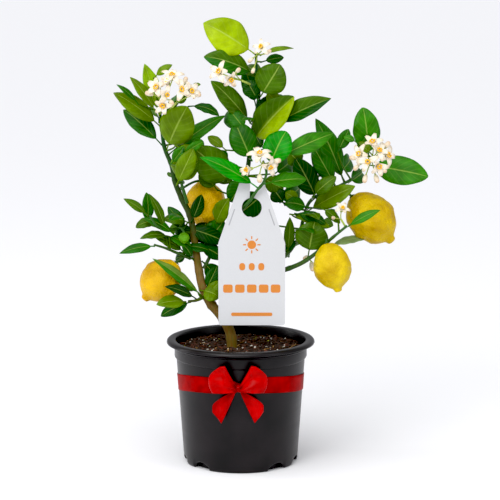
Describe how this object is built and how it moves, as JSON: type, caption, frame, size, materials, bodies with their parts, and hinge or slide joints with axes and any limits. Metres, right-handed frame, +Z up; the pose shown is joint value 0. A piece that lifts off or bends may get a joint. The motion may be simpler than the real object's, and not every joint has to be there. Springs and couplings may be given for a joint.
{
  "type": "potted lemon tree",
  "caption": "Young lemon tree in a round nursery pot, with ripe fruit, blossom clusters, a blank-backed hang tag on a twig and a satin ribbon bow round the pot.",
  "frame": {"origin": "centre of the flat underside of the pot", "axes": "+Z up along the pot's axis, the bow and the tag's printed side face -Y, +X to the right seen from the front"},
  "size_m": [0.3998, 0.1944, 0.5714],
  "materials": {
    "pot_plastic": "satin",
    "soil": "matte",
    "bark": "matte",
    "green_stem": "satin",
    "leaf": "satin",
    "young_leaf": "satin",
    "lemon_rind": "satin",
    "green_rind": "satin",
    "petal": "matte",
    "tag_card": "satin",
    "ribbon_satin": "gloss"
  },
  "bodies": {
    "root": {"arched_leaf": "leaf", "blossom_centre": "petal", "blossom_left": "petal", "blossom_left_outer": "petal", "blossom_right": "petal", "blossom_top": "petal", "bow_knot": "ribbon_satin", "bow_loop_left": "ribbon_satin", "bow_loop_right": "ribbon_satin", "bow_tail_left": "ribbon_satin", "bow_tail_right": "ribbon_satin", "centre_limb": "bark", "cluster_leaf_back": "leaf", "cluster_leaf_left": "leaf", "cluster_leaf_olive": "leaf", "cluster_leaf_right": "leaf", "cluster_leaf_upright": "young_leaf", "green_fruitlet": "green_rind", "inner_leaf": "leaf", "inner_twig": "green_stem", "left_leaf_lower": "leaf", "left_leaf_upper": "leaf", "left_stem": "green_stem", "lemon_inner": "lemon_rind", "lemon_low_left": "lemon_rind", "lemon_low_right": "lemon_rind", "lemon_right": "lemon_rind", "long_leaf_left": "leaf", "long_leaf_right": "leaf", "low_leaf_front": "leaf", "low_leaf_lower": "leaf", "low_leaf_middle": "leaf", "low_leaf_upper": "leaf", "low_left_twig": "green_stem", "mid_left_twig": "green_stem", "nursery_pot": "pot_plastic", "plant_tag": "tag_card", "potting_soil": "soil", "ribbon_band": "ribbon_satin", "right_high_limb": "green_stem", "right_leaf_back": "leaf", "right_leaf_dark": "leaf", "right_leaf_narrow": "leaf", "right_leaf_olive": "leaf", "right_leaf_outer": "leaf", "right_leaf_round": "leaf", "right_leaf_upright": "young_leaf", "right_limb": "green_stem", "shade_leaf": "leaf", "stem_leaf": "leaf", "tag_twig": "green_stem", "top_leaf_back": "leaf", "top_leaf_left": "leaf", "top_leaf_lime": "young_leaf", "trunk": "bark", "twig_leaf_back": "leaf", "twig_leaf_left": "leaf", "twig_leaf_right": "leaf", "twig_leaf_upright": "young_leaf", "upper_left_twig": "green_stem"}
  },
  "joints": []
}
